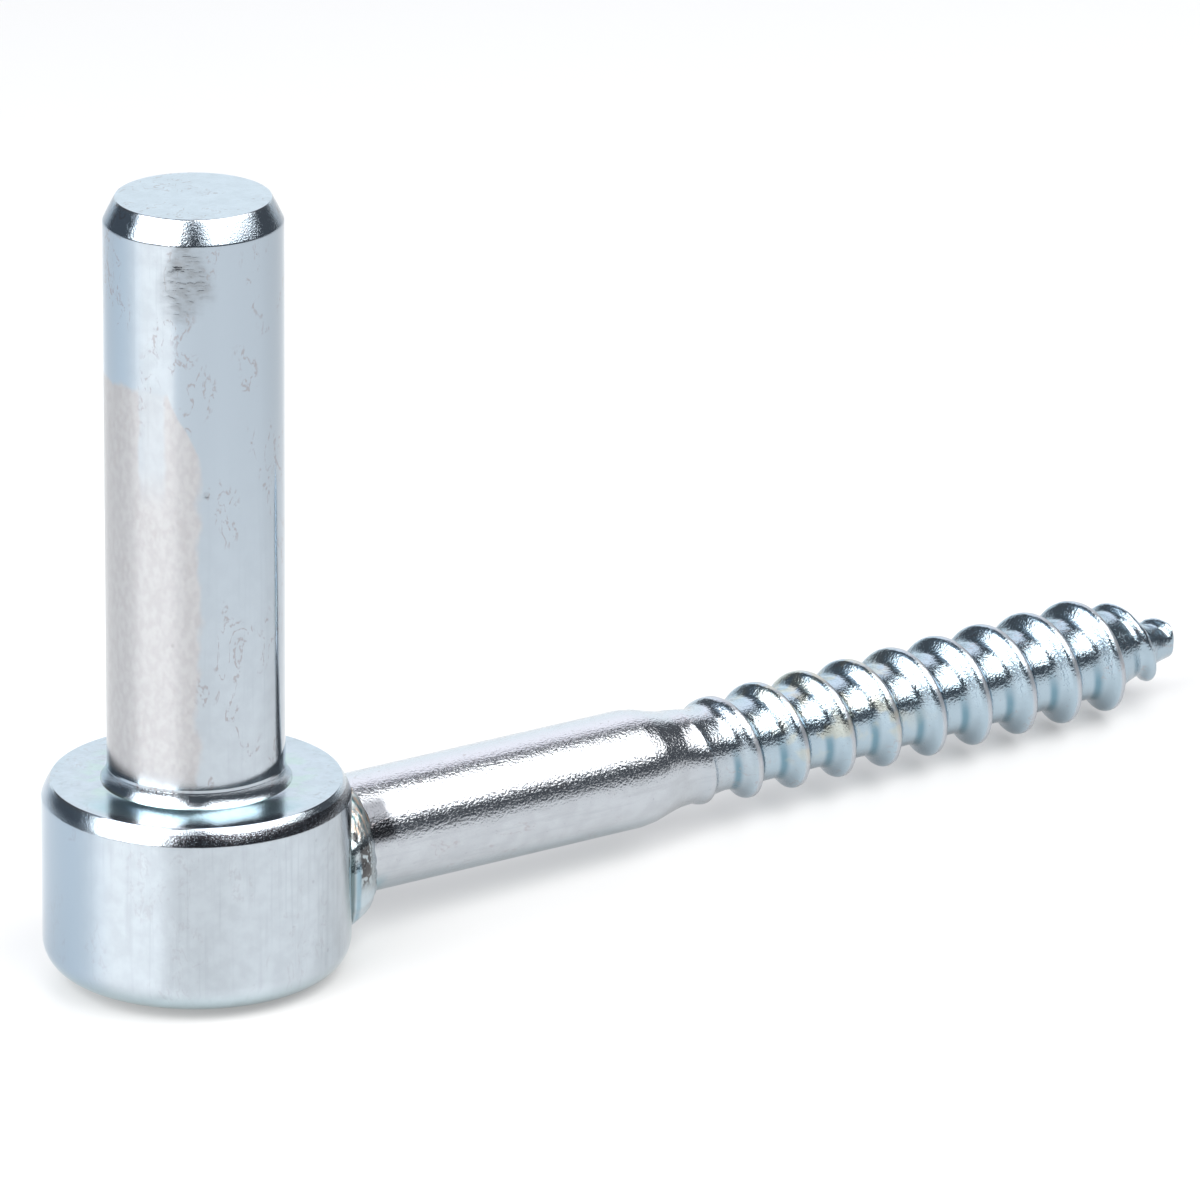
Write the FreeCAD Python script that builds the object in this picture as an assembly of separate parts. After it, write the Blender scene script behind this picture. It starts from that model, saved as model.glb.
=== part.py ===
# Screw-in gate hinge pin: a turned round pin standing on a round boss, with a
# coarse wood screw welded square to the boss's side.  Steel, zinc plated.
# Millimetres.  The origin is the centre of the boss's flat underside, +Z runs
# up the pin and +X runs out along the screw.
import FreeCAD, Part
import math
import os

# Turned pin and boss
pin_dia = 16.0
pin_length = 54.4          # from the boss's top face to the pin's end
boss_dia = 27.8
boss_height = 17.8
turned_angle = 27.0        # every turned cone, measured from the pin's axis
pin_end_cone = 2.15        # height of the cone at the pin's end
foot_cone = 1.6            # height of the cone where the pin leaves the boss
boss_top_cone = 1.6        # height of the cone round the boss's top face
boss_bottom_round = 2.8    # edge radius round the underside

# Wood screw
shank_dia = 11.1
screw_height = 8.8         # screw axis above the underside
screw_reach = 109.3        # screw's point from the pin's axis
shank_end = 46.8           # where the plain shank starts to narrow
neck_length = 5.5          # the swept step from the shank down to the neck
neck_dia = 9.1
root_start = 56.7          # where the neck has come down to the thread's root
root_dia = 8.0

# Thread
thread_pitch = 5.2
thread_dia_neck = 10.5     # over the crests at thread_full_start
thread_dia_point = 11.3    # over the crests at thread_full_end
thread_start = 51.8        # where the ridge rises out of the neck
thread_run_in = 0.1        # depth below the neck's surface that it rises from
thread_full_start = 59.7
thread_full_end = 100.2
thread_dia_end = 6.8       # over the crests, thread_run_out short of the end
thread_run_out = 2.5
thread_top_at = 57.0       # where a crest passes straight above the axis
flank_angle = 36.0         # each flank, from square to the screw's axis
root_overlap = 0.25        # how far the ridge's foot reaches into the core

# Point of the screw
point_cone_length = 9.0    # the core narrows over this last stretch
point_dia = 4.4            # blunt end
point_bevel = 0.8

# Weld bead round the foot of the screw
weld_leg = 2.8
weld_crown = 0.5           # how far the bead bulges past a flat-faced fillet

up = FreeCAD.Vector(0, 0, 1)
along = FreeCAD.Vector(1, 0, 0)
origin = FreeCAD.Vector(0, 0, 0)
crest_clear = 0.01         # keeps the trimming surface just off the full crests
screw_axis_at = FreeCAD.Vector(0, 0, screw_height)
cone_step = math.tan(math.radians(turned_angle))
boss_side = boss_dia / 2


def line(a, b):
    return Part.makeLine(a, b)


def turned(edges, centre, axis):
    """A solid of revolution from a closed row of edges in one half plane."""
    face = Part.Face(Part.Wire(edges))
    return face.revolve(centre, axis, 360)


def polyline(points):
    return [line(a, b) for a, b in zip(points, points[1:])]


def pin_and_boss():
    """One bar, turned: boss, cone at the pin's foot, plain pin, cone end."""
    def at(radius, height):
        return FreeCAD.Vector(radius, 0, height)

    pin_r = pin_dia / 2
    top = boss_height + pin_length
    foot_r = pin_r + foot_cone * cone_step
    bend = boss_bottom_round
    arc_mid = at(boss_side - bend + bend * math.sin(math.pi / 4),
                 bend - bend * math.cos(math.pi / 4))
    arc_start = at(boss_side - bend, 0)
    arc_end = at(boss_side, bend)
    edges = [line(at(0, 0), arc_start),
             Part.Arc(arc_start, arc_mid, arc_end).toShape()]
    edges += polyline([
        arc_end,
        at(boss_side, boss_height - boss_top_cone),
        at(boss_side - boss_top_cone * cone_step, boss_height),
        at(foot_r, boss_height),
        at(pin_r, boss_height + foot_cone),
        at(pin_r, top - pin_end_cone),
        at(pin_r - pin_end_cone * cone_step, top),
        at(0, top),
        at(0, 0),
    ])
    return turned(edges, origin, up)


def screw_point(x, radius):
    return FreeCAD.Vector(x, 0, screw_height + radius)


def screw_core():
    """Shank, swept neck, thread root and blunt point, without the ridge."""
    shank_r = shank_dia / 2
    neck_r = neck_dia / 2
    root_r = root_dia / 2
    point_r = point_dia / 2
    drop = shank_r - neck_r
    sweep_r = (neck_length ** 2 + drop ** 2) / (4 * drop)
    half = math.asin(neck_length / 2 / sweep_r)
    neck_x = shank_end + neck_length
    middle = screw_point(shank_end + neck_length / 2, (shank_r + neck_r) / 2)
    shoulder = screw_point(shank_end + sweep_r * math.sin(half / 2),
                           shank_r - sweep_r * (1 - math.cos(half / 2)))
    hollow = screw_point(neck_x - sweep_r * math.sin(half / 2),
                         neck_r + sweep_r * (1 - math.cos(half / 2)))
    edges = polyline([screw_point(0, 0), screw_point(0, shank_r),
                      screw_point(shank_end, shank_r)])
    edges.append(Part.Arc(screw_point(shank_end, shank_r), shoulder, middle).toShape())
    edges.append(Part.Arc(middle, hollow, screw_point(neck_x, neck_r)).toShape())
    edges += polyline([
        screw_point(neck_x, neck_r),
        screw_point(root_start, root_r),
        screw_point(screw_reach - point_cone_length, root_r),
        screw_point(screw_reach - point_bevel, point_r),
        screw_point(screw_reach, point_r - point_bevel),
        screw_point(screw_reach, 0),
        screw_point(0, 0),
    ])
    return turned(edges, screw_axis_at, along)


def thread_ridge():
    """One long V ridge on a slightly widening helix, right-handed, trimmed to
    rise out of the neck and to run down over the point."""
    start_r = thread_dia_neck / 2
    end_r = thread_dia_point / 2
    span = thread_full_end - thread_full_start
    widen = (end_r - start_r) / span
    # the sweep starts a whole number of turns before the crest that is on top
    turns_before = math.ceil((thread_top_at - thread_start) / thread_pitch) + 0.5
    first = thread_top_at - turns_before * thread_pitch
    length = screw_reach + thread_pitch - first
    first_r = start_r + widen * (first - thread_full_start)
    helix = Part.makeLongHelix(thread_pitch, length, first_r,
                               math.degrees(math.atan(widen)))
    # the ridge reaches down into the core by the same depth all along
    depth = end_r - root_dia / 2 + root_overlap
    half_foot = depth * math.tan(math.radians(flank_angle))
    foot_r = first_r - depth
    corners = [
        FreeCAD.Vector(first_r, 0, 0),
        FreeCAD.Vector(foot_r, 0, half_foot),
        FreeCAD.Vector(foot_r, 0, -half_foot),
    ]
    section = Part.Wire(polyline(corners + corners[:1]))
    ridge = Part.Wire(helix).makePipeShell([section], True, True)
    # from +Z to +X, which takes the helix's first point to below the axis
    ridge.rotate(origin, FreeCAD.Vector(0, 1, 0), 90)
    ridge.translate(FreeCAD.Vector(first, 0, screw_height))
    envelope_edges = polyline([
        screw_point(thread_start, 0),
        screw_point(thread_start, neck_dia / 2 - thread_run_in),
        screw_point(thread_full_start, start_r + crest_clear),
        screw_point(thread_full_end, end_r + crest_clear),
        screw_point(screw_reach - thread_run_out, thread_dia_end / 2),
        screw_point(screw_reach - point_bevel, point_dia / 2),
        screw_point(screw_reach - point_bevel, 0),
        screw_point(thread_start, 0),
    ])
    envelope = turned(envelope_edges, screw_axis_at, along)
    return ridge.common(envelope)


def bar_round_pin_axis(radius):
    """A plain round bar on the pin's axis, longer than the boss at both ends."""
    spare = boss_height
    return Part.makeCylinder(radius, boss_height + 2 * spare,
                             FreeCAD.Vector(0, 0, -spare), up)


def wood_screw():
    core = screw_core().fuse(thread_ridge()).removeSplitter()
    return core.cut(bar_round_pin_axis(boss_side))


def weld_bead(boss):
    """Ring of weld metal all round the shank: a crowned fillet with the same
    leg on the shank and on the boss, so it follows the boss's round side."""
    shank_r = shank_dia / 2
    toe_on_shank = screw_point(boss_side + weld_leg, shank_r)
    toe_on_boss = screw_point(boss_side, shank_r + weld_leg)
    middle = (toe_on_shank + toe_on_boss) / 2
    outwards = FreeCAD.Vector(1, 0, 1).normalize()
    edges = polyline([
        screw_point(0, 0),
        screw_point(0, shank_r + weld_leg),
        toe_on_boss,
        middle + outwards * weld_crown,
        toe_on_shank,
        screw_point(boss_side + weld_leg, 0),
        screw_point(0, 0),
    ])
    ring = turned(edges, screw_axis_at, along)
    ring = ring.common(bar_round_pin_axis(boss_side + weld_leg))
    shank = Part.makeCylinder(shank_r, shank_end, screw_axis_at, along)
    return ring.cut(boss).cut(shank)


os.makedirs("parts", exist_ok=True)
boss = pin_and_boss()
screw = wood_screw()
bead = weld_bead(boss)
for name, shape in (("pin_and_boss", boss), ("wood_screw", screw), ("weld_bead", bead)):
    shape.exportStep("parts/" + name + ".step")
    print(name, len(shape.Solids), "solid", shape.isValid(), round(shape.Volume / 1000, 3), "cm3",
          shape.BoundBox)
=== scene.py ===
import math

import bmesh
import bpy
from mathutils import Matrix, Vector, noise


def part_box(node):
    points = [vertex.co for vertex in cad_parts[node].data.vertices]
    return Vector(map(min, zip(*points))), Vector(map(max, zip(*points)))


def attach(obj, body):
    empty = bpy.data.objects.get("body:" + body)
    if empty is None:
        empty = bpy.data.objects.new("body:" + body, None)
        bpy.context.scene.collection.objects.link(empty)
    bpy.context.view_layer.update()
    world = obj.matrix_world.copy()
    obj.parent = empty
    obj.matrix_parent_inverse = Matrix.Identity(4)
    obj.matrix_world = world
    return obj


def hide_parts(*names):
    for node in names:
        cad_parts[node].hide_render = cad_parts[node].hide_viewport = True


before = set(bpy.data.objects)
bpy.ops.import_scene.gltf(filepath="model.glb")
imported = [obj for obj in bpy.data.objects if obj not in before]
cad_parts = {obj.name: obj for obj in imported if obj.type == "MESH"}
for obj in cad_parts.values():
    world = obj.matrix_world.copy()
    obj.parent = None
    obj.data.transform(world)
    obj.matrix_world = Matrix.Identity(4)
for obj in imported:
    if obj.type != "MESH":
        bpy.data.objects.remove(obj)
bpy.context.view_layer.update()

# The pin and its boss are one steel bar, turned: a round boss with a cone round
# its top face, a short cone up to the plain pin, and a coned end.  It is zinc
# plated, with a thin grey film and a few nicks.  Sizes are in millimetres.
mm = 0.001
turned_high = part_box("pin_and_boss")[1]
boss_radius = turned_high.x / mm
pin_top = turned_high.z / mm
boss_top = 17.8
pin_radius = 8.0
turned_slope = math.tan(math.radians(27.0))
pin_end_cone = 2.15
foot_cone = 1.6
foot_flare = 0.62
boss_top_cone = 1.6
boss_bottom_round = 2.8
screw_height = 8.8
chamfer_bow = 0.075
foot_bow = 0.14
end_bow = 0.02
sharp_edge_round = 0.12
soft_edge_round = 0.3
foot_edge_round = 0.2
turning_steps = 256
row_spacing = 0.3
# how deep the bar is uneven: broad marks, narrow marks, the rippled patch
broad_depth, narrow_depth, ripple_depth = 0.003, 0.0015, 0.014
# marks in the pin: degrees round it, height, half width, half height, depth
nicks = [(-132.4, 68.3, 0.9, 0.5, 0.09), (-114.9, 47.2, 0.65, 0.4, 0.10), (-137.0, 33.0, 0.4, 0.4, 0.05),
         (-72.3, 15.0, 0.35, 0.45, 0.10), (-74.1, 11.2, 0.35, 0.3, 0.08), (-65.0, 3.95, 0.45, 0.45, 0.10),
         (-84.2, 7.55, 0.3, 0.3, 0.06), (-134.6, 1.6, 0.9, 0.7, 0.16)]
# degrees round the pin, height, half width, half height
rippled_patch = (-127.6, 66.7, 2.2, 3.4)
# which way a stain or a painted reflection faces, in degrees round the pin from the screw
blue_reflection_side, film_side, thin_film_side = 155.4, 165.4, 209.4
teal_side, dark_reflection_side = 235.4, 280.4


def smoothstep(t):
    t = min(1.0, max(0.0, t))
    return t * t * (3 - 2 * t)


def between(value, stations):
    """Straight-line reading between (place, size) stations."""
    for (a, size_a), (b, size_b) in zip(stations, stations[1:]):
        if value <= b:
            return size_a + (size_b - size_a) * max(0.0, (value - a) / (b - a))
    return stations[-1][1]


def finished_piece(bm, name, material):
    """Millimetre mesh to a smooth-shaded object in the part's own frame."""
    bmesh.ops.scale(bm, vec=(mm, mm, mm), verts=bm.verts)
    for face in bm.faces:
        face.smooth = True
    mesh = bpy.data.meshes.new(name)
    bm.to_mesh(mesh)
    bm.free()
    mesh.materials.append(material)
    piece = bpy.data.objects.new(name, mesh)
    bpy.context.scene.collection.objects.link(piece)
    return piece


def bowed(a, b, bow):
    """Four places between two corners of the outline, bowed outwards."""
    run, rise = b[0] - a[0], b[1] - a[1]
    length = math.hypot(run, rise)
    places = []
    for step in range(1, 5):
        t = step / 5
        out = 4 * bow * t * (1 - t)
        places.append((a[0] + run * t + out * rise / length, a[1] + rise * t - out * run / length, 0))
    return places


def turned_outline():
    """Half outline of the bar, up from the underside: radius, height, edge round."""
    foot_radius = pin_radius + foot_flare
    chamfer = [(boss_radius, boss_top - boss_top_cone, soft_edge_round),
               (boss_radius - boss_top_cone * turned_slope, boss_top, sharp_edge_round)]
    foot = [(foot_radius, boss_top, sharp_edge_round),
            (pin_radius, boss_top + foot_cone, foot_edge_round)]
    end = [(pin_radius, pin_top - pin_end_cone, soft_edge_round),
           (pin_radius - pin_end_cone * turned_slope, pin_top, sharp_edge_round)]
    return ([(0, 0, 0), (boss_radius, 0, boss_bottom_round)]
            + [chamfer[0]] + bowed(*chamfer, chamfer_bow) + [chamfer[1]]
            + [foot[0]] + bowed(*foot, -foot_bow) + [foot[1]]
            + [end[0]] + bowed(*end, end_bow) + [end[1]]
            + [(0, pin_top, 0)])


def sink_at(x, y, z):
    """How deep the bar's surface lies under the true turned shape there."""
    radius = math.hypot(x, y)
    turn = math.degrees(math.atan2(y, x))
    sink = broad_depth * (1 + noise.noise(Vector((0.6 * x, 0.6 * y, 0.2 * z))))
    sink += narrow_depth * (1 + noise.noise(Vector((1.7 * x, 1.7 * y, 0.15 * z))))
    across, up = math.radians(turn - rippled_patch[0]) * radius, z - rippled_patch[1]
    near = smoothstep(1.25 - math.hypot(across / rippled_patch[2], up / rippled_patch[3]))
    sink += ripple_depth * near * (1 + noise.noise(Vector((1.1 * x, 1.1 * y, 1.5 * z))))
    for nick_turn, height, half_width, half_height, depth in nicks:
        across, up = math.radians(turn - nick_turn) * radius, z - height
        away = math.hypot(across / half_width, up / half_height)
        if away < 1:
            sink += depth * (1 - away * away) ** 2
    return sink


def turned_bar():
    bm = bmesh.new()
    outline = turned_outline()
    corners = [bm.verts.new((radius, 0, height)) for radius, height, _ in outline]
    for pair in zip(corners, corners[1:]):
        bm.edges.new(pair)
    for corner, (_, _, edge_round) in zip(corners, outline):
        if edge_round:
            # a vertex bevel is set back along the edges by the tangent length
            a, b = (edge.other_vert(corner).co - corner.co for edge in corner.link_edges)
            setback = edge_round / math.tan(a.angle(b) / 2)
            bmesh.ops.bevel(bm, geom=[corner], offset=setback, offset_type="OFFSET",
                            segments=14 if edge_round == boss_bottom_round else 6,
                            profile=0.5, affect="VERTICES", material=-1)
    for edge in list(bm.edges):
        cuts = round(edge.calc_length() / row_spacing)
        if cuts > 1:
            bmesh.ops.subdivide_edges(bm, edges=[edge], cuts=cuts - 1)
    bmesh.ops.spin(bm, geom=bm.verts[:] + bm.edges[:], cent=(0, 0, 0), axis=(0, 0, 1),
                   dvec=(0, 0, 0), angle=math.pi / 2, steps=turning_steps // 4,
                   use_merge=False, use_duplicate=False)
    quarter = bm.verts[:] + bm.edges[:] + bm.faces[:]
    for turn in (1, 2, 3):
        made = bmesh.ops.duplicate(bm, geom=quarter)["geom"]
        bmesh.ops.rotate(bm, verts=[item for item in made if isinstance(item, bmesh.types.BMVert)],
                         cent=(0, 0, 0), matrix=Matrix.Rotation(turn * math.pi / 2, 3, "Z"))
    bmesh.ops.remove_doubles(bm, verts=bm.verts, dist=1e-4)
    # the underside and the middle of the pin's end stay true
    for vert in bm.verts:
        x, y, z = vert.co
        if math.hypot(x, y) > pin_radius - 0.3 and z > 0.3:
            scale = 1 - sink_at(x, y, z) / math.hypot(x, y)
            vert.co = (x * scale, y * scale, z)
    bmesh.ops.recalc_face_normals(bm, faces=bm.faces)
    return bm


def add_node(tree, kind, inputs, **settings):
    """One shader node.  An input is a plain value or another node's output."""
    made = tree.nodes.new(kind)
    for name, value in settings.items():
        setattr(made, name, value)
    for name, value in inputs.items():
        if isinstance(value, bpy.types.NodeSocket):
            tree.links.new(value, made.inputs[name])
        else:
            made.inputs[name].default_value = value
    return made


def calc(tree, operation, *values):
    return add_node(tree, "ShaderNodeMath", dict(enumerate(values)), operation=operation).outputs[0]


def times(tree, *masks):
    """Masks, and a strength if one is given, multiplied together."""
    product = masks[0]
    for mask in masks[1:]:
        product = calc(tree, "MULTIPLY", product, mask)
    return product


def patches(tree, place, size, detail=3.0, warp=0.0):
    """Noise with patches of about the given size along x, y and z."""
    sized = add_node(tree, "ShaderNodeMapping", {"Vector": place, "Scale": [1 / (mm * s) for s in size]})
    return add_node(tree, "ShaderNodeTexNoise", {"Vector": sized.outputs[0], "Scale": 1.0, "Detail": detail,
                                                 "Distortion": warp}).outputs["Fac"]


def rising(tree, value, low, high):
    """0 at low to 1 at high, smooth between."""
    return add_node(tree, "ShaderNodeMapRange", {"Value": value, "From Min": low, "From Max": high},
                    interpolation_type="SMOOTHSTEP").outputs["Result"]


def within(tree, value, low, high, blur):
    """1 between low and high, 0 outside, blurred at both ends."""
    return times(tree, rising(tree, value, low - blur, low + blur),
                 rising(tree, value, high + blur, high - blur))


def paint(colour, factor=1.0):
    return (*[factor * part for part in colour], 1)


def tinted(colour, red, green, blue):
    return (red * colour[0], green * colour[1], blue * colour[2], 1)


def laid_over(tree, under, over, mask):
    return add_node(tree, "ShaderNodeMix", {0: mask, 6: under, 7: over}, data_type="RGBA").outputs[2]


def stained(tree, plate, colour, *masks):
    """The plate with a colour over it, as strong as its masks together."""
    return laid_over(tree, plate, colour, times(tree, *masks))


def in_mm(tree, place, axis):
    """How far along one axis a place is, in millimetres."""
    return calc(tree, "MULTIPLY", add_node(tree, "ShaderNodeSeparateXYZ", {0: place}).outputs[axis], 1000)


def distance_to(tree, place, point):
    """Millimetres from a point."""
    away = add_node(tree, "ShaderNodeVectorMath", {0: place, 1: [mm * p for p in point]},
                    operation="DISTANCE")
    return calc(tree, "MULTIPLY", away.outputs["Value"], 1000)


def scaled_place(tree, place, scale):
    return add_node(tree, "ShaderNodeVectorMath", {0: place, 1: scale}, operation="MULTIPLY").outputs[0]


def off_pin_axis(tree, place):
    """Millimetres from the pin's axis."""
    return distance_to(tree, scaled_place(tree, place, (1, 1, 0)), (0, 0, 0))


def on_turned(radius, turn, height):
    """A place on the turned bar, from degrees round it and height."""
    return radius * math.cos(math.radians(turn)), radius * math.sin(math.radians(turn)), height


def out_towards(tree, place, turn):
    """Millimetres out from the pin's axis in one direction."""
    out = add_node(tree, "ShaderNodeVectorMath", {0: place, 1: on_turned(1000, turn, 0)},
                   operation="DOT_PRODUCT")
    return out.outputs["Value"]


def facing(tree, place, turn):
    """1 on the side of the pin that faces one way, 0 square to it, -1 behind."""
    return calc(tree, "DIVIDE", out_towards(tree, place, turn), off_pin_axis(tree, place))


def zinc_plate(name, colour, drawn):
    """Bright zinc, bluish and mottled, streaked the way the steel was drawn."""
    material = bpy.data.materials.new(name)
    material.use_nodes = True
    tree = material.node_tree
    tree.nodes["Principled BSDF"].inputs["Metallic"].default_value = 1.0
    place = add_node(tree, "ShaderNodeTexCoord", {}).outputs["Object"]
    mottle = rising(tree, patches(tree, place, (1.6, 1.6, 1.6), 5), 0.3, 0.7)
    plate = laid_over(tree, paint(colour, 0.95), paint(colour, 1.04), mottle)
    streak = rising(tree, patches(tree, place, drawn, 3), 0.5, 0.72)
    return material, tree, place, stained(tree, plate, paint(colour, 0.86), streak, 0.5)


def worm_marks(tree, place, size, part):
    """Thin winding lines where the passivating bath dried."""
    field = patches(tree, place, size, 3, 0.8)
    line = rising(tree, calc(tree, "ABSOLUTE", calc(tree, "SUBTRACT", field, 0.5)), 0.035, 0.01)
    here = rising(tree, patches(tree, place, [2.2 * s for s in size], 1), part, part + 0.06)
    broken = rising(tree, patches(tree, place, (0.35, 0.35, 0.45), 3), 0.42, 0.56)
    return times(tree, line, here, broken)


def finish_plate(tree, plate, roughness, height, depth):
    """depth is how far the relief reaches, in millimetres."""
    shader = tree.nodes["Principled BSDF"]
    tree.links.new(plate, shader.inputs["Base Color"])
    tree.links.new(roughness, shader.inputs["Roughness"])
    relief = add_node(tree, "ShaderNodeBump", {"Strength": 1.0, "Distance": depth * mm, "Height": height})
    tree.links.new(relief.outputs["Normal"], shader.inputs["Normal"])


def matt_film(tree, place, height_mm, ragged):
    """The matt film: one side of the pin, from its foot up to a ragged edge."""
    side = out_towards(tree, place, film_side)
    round_it = rising(tree, calc(tree, "MULTIPLY_ADD", ragged, 3.0, side), 1.7, 2.5)
    limit = calc(tree, "MINIMUM", calc(tree, "MULTIPLY_ADD", side, 2.3, 46.2), 56.6)
    below = calc(tree, "MULTIPLY_ADD", ragged, 3.0, calc(tree, "SUBTRACT", limit, height_mm))
    above_foot = rising(tree, height_mm, boss_top + 1.4, boss_top + 2.2)
    film = times(tree, round_it, rising(tree, below, 0.0, 0.7), above_foot)
    # a strip of it is thinner near that edge
    strip = calc(tree, "MULTIPLY_ADD", ragged, 0.02, facing(tree, place, thin_film_side))
    thin = times(tree, rising(tree, strip, 0.983, 0.992), rising(tree, height_mm, 45.0, 50.0))
    return times(tree, film, calc(tree, "MULTIPLY_ADD", thin, -0.7, 1.0))


def pin_zinc():
    zinc = (0.475, 0.525, 0.57)
    material, tree, place, plate = zinc_plate("zinc_on_pin", zinc, (0.5, 0.5, 12.0))
    height_mm = in_mm(tree, place, "Z")
    off_axis = off_pin_axis(tree, place)
    not_end = rising(tree, off_axis, 6.9, 7.1)
    seat = within(tree, height_mm, boss_top - 0.2, boss_top + 0.2, 0.1)
    not_seat = calc(tree, "SUBTRACT", 1.0, seat)
    # painted reflection: bluer down one side of pin and boss, standing in for the bluer light that side
    # reflects
    faces_blue_reflection = facing(tree, place, blue_reflection_side)
    painted_blue_reflection = times(tree, rising(tree, faces_blue_reflection, 0.62, 0.9), not_seat, not_end)
    plate = stained(tree, plate, tinted(zinc, 0.84, 0.95, 1.05), painted_blue_reflection)
    # painted shade: greyer towards the pin's end, all but that side, standing in for the dimmer floor
    # reflected higher up
    painted_dim_reflection = times(tree, rising(tree, faces_blue_reflection, 0.4, 0.3), rising(tree, height_mm, 10, 60), not_end)
    plate = stained(tree, plate, tinted(zinc, 0.84, 0.88, 0.915), painted_dim_reflection)
    # brown worm marks, on the pin more than on the boss
    worms = worm_marks(tree, place, (1.6, 1.6, 3.5), 0.5)
    on_pin = rising(tree, height_mm, boss_top - 0.3, boss_top + 0.7)
    plate = stained(tree, plate, (0.30, 0.26, 0.26, 1), worms, calc(tree, "MULTIPLY_ADD", on_pin, 0.4, 0.15))
    ragged = calc(tree, "SUBTRACT", patches(tree, place, (2.5, 2.5, 4.0), 4), 0.5)
    film = matt_film(tree, place, height_mm, ragged)
    clouds = rising(tree, patches(tree, place, (0.6, 0.6, 0.9), 5), 0.35, 0.65)
    film_paint = laid_over(tree, (0.475, 0.47, 0.48, 1), (0.52, 0.52, 0.53, 1), clouds)
    plate = stained(tree, plate, film_paint, film, 0.9)
    # the darker rippled patch under the coned end
    turn, height, _, _ = rippled_patch
    squeeze = 0.62
    patch_middle = on_turned(pin_radius, turn, squeeze * height)
    off_patch = distance_to(tree, scaled_place(tree, place, (1, 1, squeeze)), patch_middle)
    off_patch = calc(tree, "MULTIPLY_ADD", ragged, 2.5, off_patch)
    scales = rising(tree, patches(tree, place, (0.9, 0.9, 0.35), 3), 0.35, 0.65)
    dull = times(tree, rising(tree, off_patch, 3.0, 1.3), calc(tree, "MULTIPLY_ADD", scales, 0.4, 0.6))
    plate = stained(tree, plate, paint(zinc, 0.60), dull)
    # green tints on the turned face round the pin's foot, and teal
    # over the whole of it on the near side
    blotches = rising(tree, patches(tree, place, (2.5, 2.5, 2.5), 2), 0.45, 0.62)
    by_foot = rising(tree, off_axis, 12.0, 9.2)
    plate = stained(tree, plate, (0.42, 0.57, 0.48, 1), seat, by_foot, blotches, 0.45)
    on_seat = within(tree, height_mm, boss_top - 0.1, boss_top + 0.1, 0.05)
    on_seat = times(tree, on_seat, rising(tree, off_axis, 12.8, 11.5))
    near_side = rising(tree, facing(tree, place, teal_side), 0.45, 0.75)
    plate = stained(tree, plate, (0.33, 0.50, 0.54, 1), on_seat, near_side, 0.6)
    # painted shade: teal low on the boss, standing in for the shaded floor its rounded foot reflects; painted
    # reflection and shade: darker teal where it takes the weld, standing in for the dark weld and shank it
    # reflects
    plate = stained(tree, plate, (0.38, 0.50, 0.53, 1), rising(tree, height_mm, 2.6, 0.6), 0.6)
    weld_reflection_shade = rising(tree, distance_to(tree, place, (boss_radius, 0, screw_height)), 12.6, 9.6)
    plate = stained(tree, plate, (0.22, 0.41, 0.44, 1), weld_reflection_shade, not_seat, 0.7)
    # darker in the nicks
    for nick_turn, nick_height, half_width, _, _ in nicks:
        radius = pin_radius if nick_height > boss_top else boss_radius
        bottom = on_turned(radius, nick_turn, nick_height)
        nick_darkening = rising(tree, distance_to(tree, place, bottom), 0.6 * half_width, 0.25 * half_width)
        plate = stained(tree, plate, (0.20, 0.19, 0.19, 1), nick_darkening, 0.2)
    # the turning tool leaves the cones grainy; the lower part of the boss's top cone on one side is painted
    # dark and grainy, a painted reflection of the dark ceiling
    grain = patches(tree, place, (0.13, 0.13, 0.13), 3)
    top_cone = within(tree, height_mm, boss_top - boss_top_cone + 0.05, boss_top - 0.1, 0.05)
    dark_reflection = within(tree, height_mm, boss_top - boss_top_cone, boss_top - 0.55, 0.1)
    dark_reflection = calc(tree, "MULTIPLY_ADD", ragged, 1.2, dark_reflection)
    dark_reflection_part = rising(tree, facing(tree, place, dark_reflection_side), 0.50, 0.66)
    dark_reflection = times(tree, rising(tree, dark_reflection, 0.3, 0.6), top_cone, dark_reflection_part)
    plate = stained(tree, plate, (0.095, 0.09, 0.10, 1), dark_reflection, rising(tree, grain, 0.25, 0.6))
    foot = within(tree, height_mm, boss_top + 0.05, boss_top + 1.3, 0.05)
    end = within(tree, height_mm, pin_top - pin_end_cone + 0.05, pin_top - 0.05, 0.05)
    cones = calc(tree, "ADD", calc(tree, "MULTIPLY_ADD", top_cone, 1.2, foot), end)
    relief = times(tree, grain, calc(tree, "MULTIPLY_ADD", cones, 0.9, 0.12))
    relief = calc(tree, "MULTIPLY_ADD", patches(tree, place, (0.35, 0.35, 9.0), 3), 0.22, relief)
    relief = calc(tree, "MULTIPLY_ADD", times(tree, clouds, film), 0.07, relief)
    relief = calc(tree, "MULTIPLY_ADD", times(tree, scales, dull), 0.7, relief)
    roughness = calc(tree, "MULTIPLY_ADD", patches(tree, place, (3.0, 3.0, 5.0), 3), 0.08, 0.06)
    roughness = calc(tree, "MULTIPLY_ADD", film, 0.13, roughness)
    roughness = calc(tree, "MULTIPLY_ADD", on_seat, 0.12, roughness)
    finish_plate(tree, plate, roughness, relief, 0.02)
    return material


pin_and_boss = finished_piece(turned_bar(), "pin_and_boss_turned", pin_zinc())
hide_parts("pin_and_boss")
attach(pin_and_boss, "root")

# The wood screw is one length of steel wire: a plain shank, a swept neck and
# a coarse right-handed thread rolled into it, with a blunt, ragged point.  The
# rolled steel is coarser than the turned, so its zinc is grainy.
shank_radius = 5.53
shank_foot = 12.0
screw_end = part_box("wood_screw")[1].x / mm
thread_pitch = 5.2
crest_over_top = 57.0
helix_steps = 88
# where the wire turns uneven from rolling and then ragged, each over change_length
rolled_from, ragged_from, change_length = 47.5, 101.0, 4.0
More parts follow.
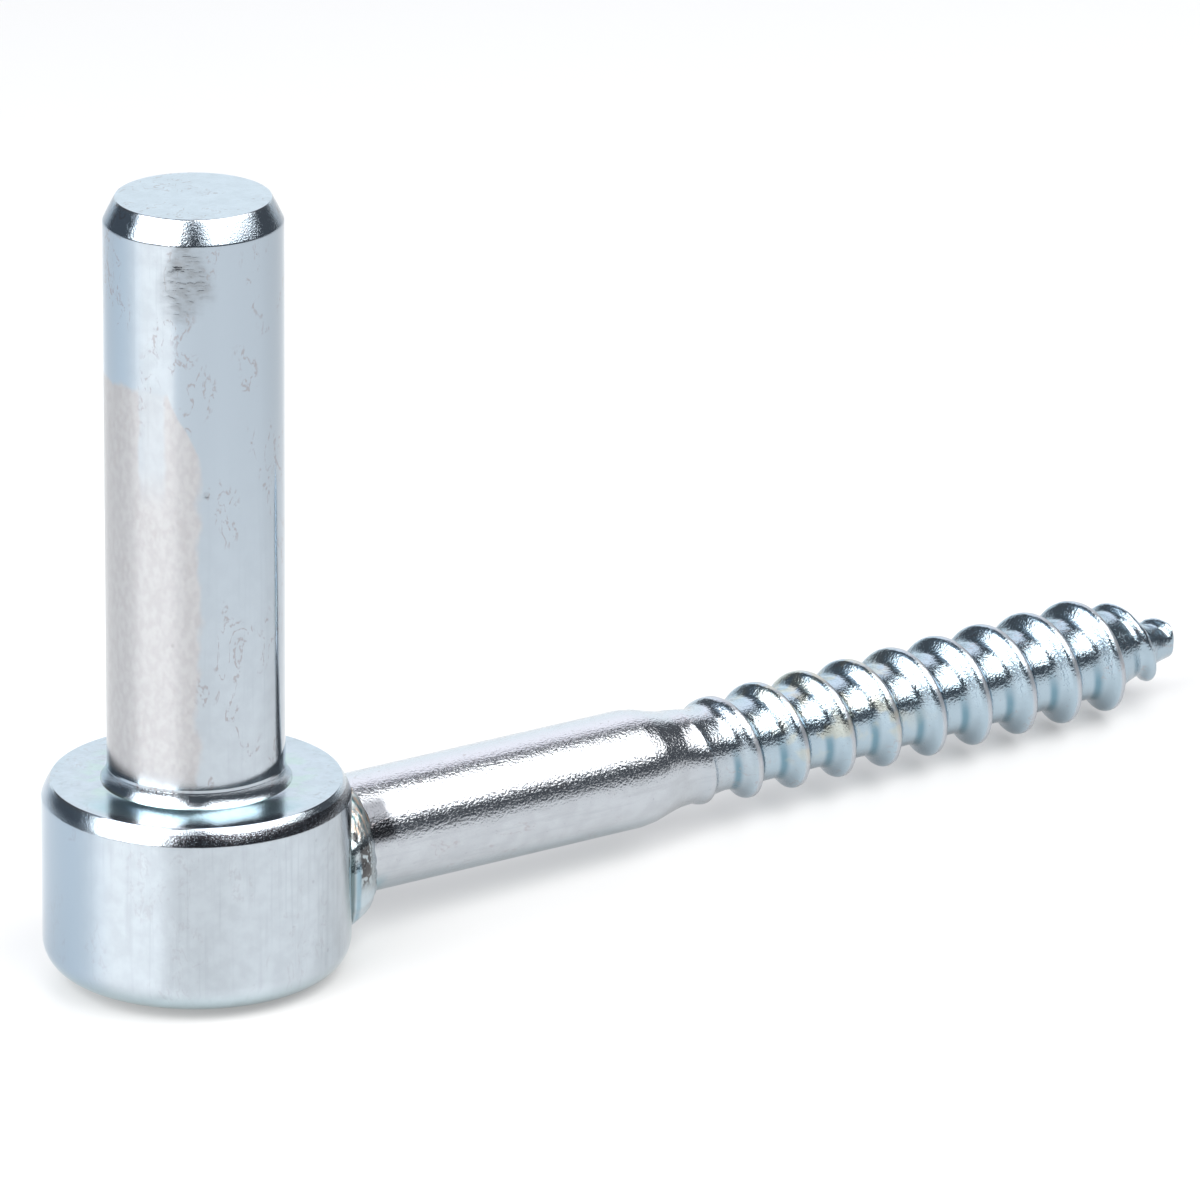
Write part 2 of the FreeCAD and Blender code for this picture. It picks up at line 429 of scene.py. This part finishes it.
# out from the pin's axis: radius of the core, radius over the crests, and how
# far the real screw's axis runs above the straight one
core_stations = [(0, shank_radius), (46.8, shank_radius), (48.2, 5.36), (49.8, 4.95), (51.0, 4.66),
                 (52.3, 4.55), (54.5, 4.25), (56.7, 4.0), (100.3, 4.0), (102.5, 3.6), (104.0, 3.05),
                 (105.0, 2.65), (105.8, 2.4), (106.6, 2.15), (107.3, 1.95), (108.2, 1.7), (109.1, 1.4)]
crest_stations = [(51.8, 4.5), (54.3, 4.8), (57.0, 4.95), (59.7, 5.25), (99.2, 5.66), (100.9, 5.45),
                  (103.1, 4.75), (104.2, 3.9), (105.4, 3.5), (107.0, 3.45), (107.9, 3.0), (108.6, 2.5),
                  (109.1, 2.2)]
axis_rise = [(0, 0.0), (55, -0.05), (62, -0.03), (80, 0.12), (99.2, 0.4), (103.5, 0.36), (106.6, 0.12),
             (109.3, -0.12)]
# the ridge's section: along the wire from the middle of the crest, and height
ridge_section = [(-2.1, 0.0), (-1.75, 0.05), (-1.4, 0.16), (-1.12, 0.34), (-0.88, 0.56), (-0.68, 0.76),
                 (-0.48, 0.91), (-0.28, 0.98), (-0.1, 1.0), (0.1, 1.0), (0.26, 0.97), (0.4, 0.88),
                 (0.52, 0.74), (0.64, 0.55), (0.78, 0.36), (0.96, 0.19), (1.2, 0.08), (1.5, 0.02), (1.9, 0.0)]


def ragged_at(x):
    return smoothstep((x - ragged_from) / change_length)


def threaded_wire():
    """A helical sheet of one pitch per turn, closed up turn to turn, then each
    point set to the wire's own radius at its place."""
    bm = bmesh.new()
    half_pitch = thread_pitch / 2
    section = [(-half_pitch, 0.0)] + ridge_section + [(half_pitch, 0.0)]
    start = crest_over_top - 3 * thread_pitch
    turns = math.ceil((screw_end - start) / thread_pitch) + 1
    flat_radius = 10.0
    ridge_thinning = 1.2
    points = [bm.verts.new((start + along, 0, flat_radius + height)) for along, height in section]
    for pair in zip(points, points[1:]):
        bm.edges.new(pair)
    bmesh.ops.spin(bm, geom=bm.verts[:] + bm.edges[:], cent=(0, 0, 0), axis=(1, 0, 0),
                   dvec=(thread_pitch / helix_steps, 0, 0), angle=2 * math.pi, steps=helix_steps,
                   use_merge=False, use_duplicate=False)
    one_turn = bm.verts[:] + bm.edges[:] + bm.faces[:]
    for turn in range(1, turns):
        made = bmesh.ops.duplicate(bm, geom=one_turn)["geom"]
        bmesh.ops.translate(bm, verts=[item for item in made if isinstance(item, bmesh.types.BMVert)],
                            vec=(turn * thread_pitch, 0, 0))
    bmesh.ops.remove_doubles(bm, verts=bm.verts, dist=1e-3)
    shank_cut, point_cut = 45.5, screw_end - 0.3
    finest = 0.04
    bmesh.ops.bisect_plane(bm, geom=bm.verts[:] + bm.edges[:] + bm.faces[:], dist=1e-5,
                           plane_co=(shank_cut, 0, 0), plane_no=(1, 0, 0), clear_inner=True)
    bmesh.ops.bisect_plane(bm, geom=bm.verts[:] + bm.edges[:] + bm.faces[:], dist=1e-5,
                           plane_co=(point_cut, 0, 0), plane_no=(1, 0, 0), clear_outer=True)
    bmesh.ops.remove_doubles(bm, verts=[vert for vert in bm.verts if vert.is_boundary], dist=finest)
    for vert in bm.verts:
        x, y, z = vert.co
        reach = math.hypot(y, z)
        height = min(1.0, max(0.0, reach - flat_radius)) ** (1 + ridge_thinning * ragged_at(x))
        core = between(x, core_stations)
        crest = between(x, crest_stations) if x > crest_stations[0][0] else core
        radius = core + height * max(0.0, crest - core)
        vert.co = (x, y / reach * radius, z / reach * radius)
    ends = {}
    for edge in bm.edges:
        if edge.is_boundary:
            middle = (edge.verts[0].co.x + edge.verts[1].co.x) / 2
            near_shank = middle < (shank_cut + point_cut) / 2
            ends.setdefault("shank" if near_shank else "point", []).append(edge)
    # the plain shank runs back into the boss
    stretch = ends["shank"]
    lengths = 64
    for _ in range(lengths):
        made = bmesh.ops.extrude_edge_only(bm, edges=stretch)["geom"]
        moved = [item for item in made if isinstance(item, bmesh.types.BMVert)]
        bmesh.ops.translate(bm, verts=moved, vec=((shank_foot - shank_cut) / lengths, 0, 0))
        stretch = [item for item in made if isinstance(item, bmesh.types.BMEdge) and item.is_boundary]
    bmesh.ops.edgeloop_fill(bm, edges=stretch)
    # the blunt end is drawn in over its last fraction of a millimetre
    stretch = ends["point"]
    for forward, shrink in ((0.12, 0.9), (0.1, 0.8), (0.05, 0.6)):
        made = bmesh.ops.extrude_edge_only(bm, edges=stretch)["geom"]
        moved = [item for item in made if isinstance(item, bmesh.types.BMVert)]
        bmesh.ops.translate(bm, verts=moved, vec=(forward, 0, 0))
        bmesh.ops.scale(bm, vec=(1, shrink, shrink), verts=moved)
        stretch = [item for item in made if isinstance(item, bmesh.types.BMEdge) and item.is_boundary]
    bmesh.ops.edgeloop_fill(bm, edges=stretch)
    for vert in bm.verts:
        # rolling leaves the thread uneven, the plain shank only rippled
        x, y, z = vert.co
        rolled = smoothstep((x - rolled_from) / change_length)
        ragged = ragged_at(x)
        sink = 0.006 * (1 + noise.noise(Vector((0.45 * x, 1.1 * y, 1.1 * z))))
        sink += (0.02 * rolled + 0.05 * ragged) * (1 + noise.noise(Vector((0.8 * x + 7, 0.9 * y, 0.9 * z))))
        sink += (0.008 * rolled + 0.02 * ragged) * (1 + noise.noise(Vector((2.1 * x, 2.1 * y + 5, 2.1 * z))))
        reach = max(0.5, math.hypot(y, z))
        vert.co = (x, y * (1 - sink / reach), z * (1 - sink / reach) + screw_height + between(x, axis_rise))
    bmesh.ops.recalc_face_normals(bm, faces=bm.faces)
    return bm


def screw_zinc():
    zinc = (0.49, 0.52, 0.555)
    material, tree, place, plate = zinc_plate("zinc_on_screw", zinc, (9.0, 0.6, 0.6))
    along = in_mm(tree, place, "X")
    height_mm = in_mm(tree, place, "Z")
    # painted highlight: brighter along the top; bluer on the thread; a painted light blue sheen under the
    # shank
    plate = stained(tree, plate, (0.57, 0.585, 0.61, 1), rising(tree, height_mm, 9.5, 12.5), 0.85)
    plate = stained(tree, plate, (0.38, 0.485, 0.56, 1), rising(tree, along, 50.0, 62.0), 0.9)
    painted_sheen = times(tree, rising(tree, height_mm, 6.2, 3.8), rising(tree, along, 62.0, 40.0))
    plate = stained(tree, plate, (0.40, 0.51, 0.57, 1), painted_sheen, 0.6)
    # along the ridge: painted shade, dark teal at its foot towards the shank below the axis; a worn pale
    # crest
    above_axis = calc(tree, "SUBTRACT", height_mm, screw_height)
    right_of_axis = calc(tree, "MULTIPLY", in_mm(tree, place, "Y"), -1)
    turn = calc(tree, "ARCTAN2", right_of_axis, above_axis)
    from_crest = calc(tree, "SUBTRACT", along, crest_over_top)
    from_crest = calc(tree, "MULTIPLY_ADD", turn, -thread_pitch / (2 * math.pi), from_crest)
    from_crest = calc(tree, "WRAP", from_crest, thread_pitch / 2, -thread_pitch / 2)
    on_thread = within(tree, along, 54.0, 104.0, 2.0)
    painted_ridge_shade = times(tree, within(tree, from_crest, -2.2, -1.45, 0.3), rising(tree, height_mm, 11.0, 8.0))
    plate = stained(tree, plate, (0.12, 0.24, 0.31, 1), painted_ridge_shade, on_thread, 0.85)
    crest = times(tree, within(tree, from_crest, -0.15, 0.45, 0.2), on_thread)
    plate = stained(tree, plate, (0.52, 0.50, 0.51, 1), crest, 0.6)
    # straw tints on the first turns
    straw = times(tree, within(tree, along, 60.0, 76.0, 4.0), rising(tree, height_mm, 6.0, 10.0),
                 rising(tree, patches(tree, place, (2.0, 2.0, 2.0), 2), 0.48, 0.62))
    plate = stained(tree, plate, (0.60, 0.55, 0.38, 1), straw, 0.45)
    # painted shade, nearly black, where the top of the shank leaves the weld by its crease; teal on its lower
    # half
    weld_exit_shade = times(tree, rising(tree, along, 18.6, 17.2), within(tree, height_mm, 9.9, 13.3, 0.5))
    plate = stained(tree, plate, (0.06, 0.062, 0.07, 1), weld_exit_shade, 0.9)
    teal = times(tree, rising(tree, along, 18.0, 16.4), rising(tree, height_mm, 7.0, 5.0))
    plate = stained(tree, plate, (0.26, 0.44, 0.50, 1), teal, 0.6)
    # brown lines and specks all over
    plate = stained(tree, plate, (0.38, 0.34, 0.34, 1), worm_marks(tree, place, (3.0, 1.6, 1.6), 0.55), 0.4)
    specks = rising(tree, patches(tree, place, (0.35, 0.35, 0.35), 3), 0.68, 0.75)
    plate = stained(tree, plate, (0.30, 0.30, 0.31, 1), specks, 0.5)
    fine = patches(tree, place, (0.23, 0.23, 0.23), 3)
    coarse = patches(tree, place, (0.75, 0.5, 0.5), 2)
    relief = calc(tree, "MULTIPLY_ADD", coarse, 0.12, calc(tree, "MULTIPLY", fine, 2.4))
    roughness = calc(tree, "MULTIPLY_ADD", patches(tree, place, (2.0, 2.0, 2.0), 3), 0.08, 0.09)
    roughness = calc(tree, "MULTIPLY_ADD", crest, 0.25, roughness)
    finish_plate(tree, plate, roughness, relief, 0.02)
    return material


wood_screw = finished_piece(threaded_wire(), "wood_screw_rolled", screw_zinc())
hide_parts("wood_screw")
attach(wood_screw, "root")

# The weld is one bead of metal run right round the shank where it butts the
# boss: thin over the top, full underneath, with the ripples and pits that the
# weld leaves, then plated with the rest.
bead_steps = 240
bead_ring = 28
bead_outline = 1.1
# the bead's reach along the shank and up the boss, at its top and at its bottom
along_top, along_bottom = 1.6, 2.9
up_top, up_bottom = 0.05, 2.75
# what the sides of the ring have more than that, and the bead's unevenness
side_swell, ripple_height, lump_height = 0.6, 0.06, 0.16
# how far the inner half of the ring's outline lies inside shank and boss
bead_inside = 0.3
# places of the two pits and their sizes
weld_pits = [((12.8, -6.3, 11.2), 0.55), ((12.7, -6.4, 6.7), 0.4)]


def weld_ring():
    """A closed ring of bead, spun round the shank, then laid on the boss."""
    bm = bmesh.new()
    ring_radius = 10.0
    stand = Matrix.Translation((0, 0, ring_radius)) @ Matrix.Rotation(math.pi / 2, 4, "X")
    bmesh.ops.create_circle(bm, cap_ends=False, radius=1.0, segments=bead_ring, matrix=stand)
    bmesh.ops.spin(bm, geom=bm.verts[:] + bm.edges[:], cent=(0, 0, 0), axis=(1, 0, 0),
                   dvec=(0, 0, 0), angle=2 * math.pi, steps=bead_steps, use_merge=True,
                   use_duplicate=False)
    bmesh.ops.remove_doubles(bm, verts=bm.verts, dist=1e-4)
    for vert in bm.verts:
        x, y, z = vert.co
        across, up = x, math.hypot(y, z) - ring_radius
        turn = math.atan2(-y, z)
        over, under = (1 + math.cos(turn)) / 2, (1 - math.cos(turn)) / 2
        ripple = ripple_height * math.sin(21 * turn + 2.0 * math.sin(3 * turn))
        lump = noise.noise(Vector((2.2 * math.cos(turn), 2.2 * math.sin(turn), 1.5 * across)))
        uneven = side_swell * math.sin(turn) ** 2 + ripple + lump_height * lump
        along_leg = along_top * over + along_bottom * under + uneven
        up_leg = up_top * over + up_bottom * under + uneven
        out = along_leg * across ** bead_outline if across > 0 else bead_inside * across
        rise = up_leg * up ** bead_outline if up > 0 else bead_inside * up
        radius = shank_radius + rise
        side_y = -math.sin(turn) * radius
        boss_face = math.sqrt(boss_radius ** 2 - min(abs(side_y), boss_radius) ** 2)
        vert.co = (boss_face + out, side_y, screw_height + math.cos(turn) * radius)
    bmesh.ops.recalc_face_normals(bm, faces=bm.faces)
    return bm


def weld_zinc():
    zinc = (0.45, 0.51, 0.54)
    material, tree, place, plate = zinc_plate("zinc_on_weld", zinc, (1.5, 0.6, 0.6))
    height_mm = in_mm(tree, place, "Z")
    off_boss = calc(tree, "SUBTRACT", off_pin_axis(tree, place), boss_radius)
    # tempering colours over the top, in lines that follow the bead
    upper = rising(tree, height_mm, 10.6, 11.6)
    lines = patches(tree, place, (0.3, 1.6, 1.6), 3)
    plate = stained(tree, plate, (0.50, 0.54, 0.53, 1), upper, 0.8)
    plate = stained(tree, plate, (0.84, 0.66, 0.54, 1), upper, rising(tree, lines, 0.54, 0.6))
    plate = stained(tree, plate, (0.16, 0.25, 0.26, 1), upper, rising(tree, lines, 0.46, 0.40))
    # burnt half way up, pale blue below, blued, and painted shade dark in the crease by the boss
    burnt = times(tree, within(tree, height_mm, 6.8, 10.6, 0.6), within(tree, off_boss, 0.8, 2.0, 0.2),
                 rising(tree, patches(tree, place, (0.5, 0.5, 0.7), 4), 0.40, 0.48))
    plate = stained(tree, plate, (0.065, 0.06, 0.06, 1), burnt, 0.92)
    plate = stained(tree, plate, (0.60, 0.70, 0.76, 1), rising(tree, height_mm, 6.6, 5.6), 0.7)
    blued = times(tree, within(tree, off_boss, 0.45, 0.9, 0.15), rising(tree, height_mm, 9.5, 8.5))
    plate = stained(tree, plate, (0.24, 0.40, 0.50, 1), blued, 0.7)
    weld_crease_shade = times(tree, rising(tree, off_boss, 0.5, 0.15), rising(tree, height_mm, 11.5, 9.5))
    plate = stained(tree, plate, (0.09, 0.14, 0.15, 1), weld_crease_shade, 0.85)
    # painted shade: the pits, which are only bumps, are painted dark
    pits = rising(tree, patches(tree, place, (0.6, 0.6, 0.6), 2), 0.7, 0.78)
    for pit, size in weld_pits:
        pits = calc(tree, "MAXIMUM", pits, rising(tree, distance_to(tree, place, pit), size, 0.5 * size))
    plate = stained(tree, plate, (0.10, 0.10, 0.10, 1), pits)
    relief = calc(tree, "SUBTRACT", patches(tree, place, (0.4, 0.5, 0.5), 3), pits)
    roughness = calc(tree, "MULTIPLY_ADD", patches(tree, place, (1.5, 1.5, 1.5), 3), 0.12, 0.14)
    roughness = calc(tree, "MULTIPLY_ADD", upper, 0.15, roughness)
    finish_plate(tree, plate, roughness, relief, 0.06)
    return material


weld_bead = finished_piece(weld_ring(), "weld_bead_rippled", weld_zinc())
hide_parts("weld_bead")
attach(weld_bead, "root")

# The camera stands to the left of the screw, above the pin, and looks down on
# the part from nearly a metre off through a long lens.
camera_turn = math.radians(34.57)
camera_rise = math.radians(19.79)
camera_roll = math.radians(0.47)
camera_distance = 0.9595
origin_across, origin_up = -0.036239, -0.032493
across = Vector((math.cos(camera_turn), -math.sin(camera_turn), 0))
level = Vector((math.sin(camera_turn), math.cos(camera_turn), 0))
ahead = math.cos(camera_rise) * level - math.sin(camera_rise) * Vector((0, 0, 1))
above = math.sin(camera_rise) * level + math.cos(camera_rise) * Vector((0, 0, 1))
image_right = math.cos(camera_roll) * across + math.sin(camera_roll) * above
image_up = math.cos(camera_roll) * above - math.sin(camera_roll) * across
turning = Matrix((image_right, image_up, -ahead)).transposed()
camera_data = bpy.data.cameras.new("camera")
camera_data.sensor_width = 36
camera_data.lens = 319.86
camera_data.clip_start = 0.05
camera_data.clip_end = 20
camera = bpy.data.objects.new("camera", camera_data)
camera.matrix_world = Matrix.Translation(-(origin_across * image_right + origin_up * image_up
                                           + camera_distance * ahead)) @ turning.to_4x4()
bpy.context.scene.collection.objects.link(camera)
bpy.context.scene.camera = camera

# The part leans on the edge of its boss and on the thread near the point, so
# the floor passes under those two places.  It is pale, faintly glossy, and
# gives off a little light of its own.
heel = turned_high.x - boss_bottom_round * mm
toe_place, toe_height = 0.0972, 0.0033
floor_bm = bmesh.new()
bmesh.ops.create_grid(floor_bm, x_segments=1, y_segments=1, size=4.0)
bmesh.ops.rotate(floor_bm, verts=floor_bm.verts, cent=(0, 0, 0),
                 matrix=Matrix.Rotation(-math.atan2(toe_height, toe_place - heel), 3, "Y"))
bmesh.ops.translate(floor_bm, verts=floor_bm.verts, vec=(heel, 0, 0))
floor_mesh = bpy.data.meshes.new("floor")
floor_bm.to_mesh(floor_mesh)
floor_bm.free()
floor = bpy.data.objects.new("floor", floor_mesh)
bpy.context.scene.collection.objects.link(floor)
floor_paint = bpy.data.materials.new("pale_floor")
floor_paint.use_nodes = True
floor_look = floor_paint.node_tree.nodes["Principled BSDF"].inputs
floor_look["Base Color"].default_value = (0.48, 0.475, 0.47, 1)
floor_look["Emission Color"].default_value = (1.0, 0.985, 0.975, 1)
floor_look["Emission Strength"].default_value = 0.30
floor_look["Roughness"].default_value = 0.42
floor_look["Specular IOR Level"].default_value = 0.5
floor_mesh.materials.append(floor_paint)

# Two soft boxes near the part, one to the left and one overhead to the right.
towards_camera = -level


def soft_box(name, turn, rise, distance, width, height, strength):
    """turn is in degrees to the right of the camera, rise above the floor."""
    a, e = math.radians(turn), math.radians(rise)
    flat = math.cos(a) * towards_camera + math.sin(a) * across
    aim = math.cos(e) * flat + math.sin(e) * Vector((0, 0, 1))
    lamp_data = bpy.data.lights.new(name, "AREA")
    lamp_data.shape = "RECTANGLE"
    lamp_data.size, lamp_data.size_y = width, height
    lamp_data.energy = strength * math.pi * width * height
    lamp = bpy.data.objects.new(name, lamp_data)
    lamp.matrix_world = Matrix.Translation(distance * aim) @ aim.to_track_quat("Z", "Y").to_matrix().to_4x4()
    bpy.context.scene.collection.objects.link(lamp)
    return lamp


soft_box("soft_box_left", -50, 36, 0.62, 0.63, 0.55, 5.6)
soft_box("soft_box_over", 62, 55.5, 0.62, 0.73, 0.53, 4.4)

# The room is dark but for a pale blue backdrop behind the part, which ends
# under a dark ceiling, the floor's pale sweep below it, and a dim blue panel
# high on the left.  Angles are in degrees, the bearing from straight behind
# the part.
room = bpy.data.worlds.new("room")
bpy.context.scene.world = room
room.use_nodes = True
sky = room.node_tree
backdrop_foot, backdrop_top = (1.18, 1.29, 1.36, 1), (1.50, 1.49, 1.60, 1)
dark_room, blue_panel = (0.11, 0.12, 0.135, 1), (0.50, 0.60, 0.72, 1)
looking = add_node(sky, "ShaderNodeTexCoord", {}).outputs["Generated"]


def looking_along(direction):
    dot = add_node(sky, "ShaderNodeVectorMath", {0: looking, 1: direction}, operation="DOT_PRODUCT")
    return dot.outputs["Value"]


upwards = add_node(sky, "ShaderNodeSeparateXYZ", {0: looking}).outputs["Z"]
bearing = calc(sky, "DEGREES", calc(sky, "ARCTAN2", looking_along(across), looking_along(level)))
elevation = calc(sky, "DEGREES", calc(sky, "ARCSINE", upwards))
backdrop = times(sky, within(sky, bearing, -28, 24, 2), rising(sky, elevation, 56, 53))
overhead = times(sky, within(sky, bearing, -150, -75, 4), within(sky, elevation, 36, 76, 3))
sweep = times(sky, within(sky, bearing, -40, 40, 2), rising(sky, elevation, 17, 13))
pale = laid_over(sky, backdrop_foot, backdrop_top, rising(sky, elevation, 20, 34))
dim = laid_over(sky, dark_room, blue_panel, overhead)
light = laid_over(sky, dim, pale, calc(sky, "MAXIMUM", backdrop, sweep))
sky.links.new(light, sky.nodes["Background"].inputs["Color"])
sky.nodes["Background"].inputs["Strength"].default_value = 1.0
bpy.context.scene.view_settings.view_transform = "Standard"
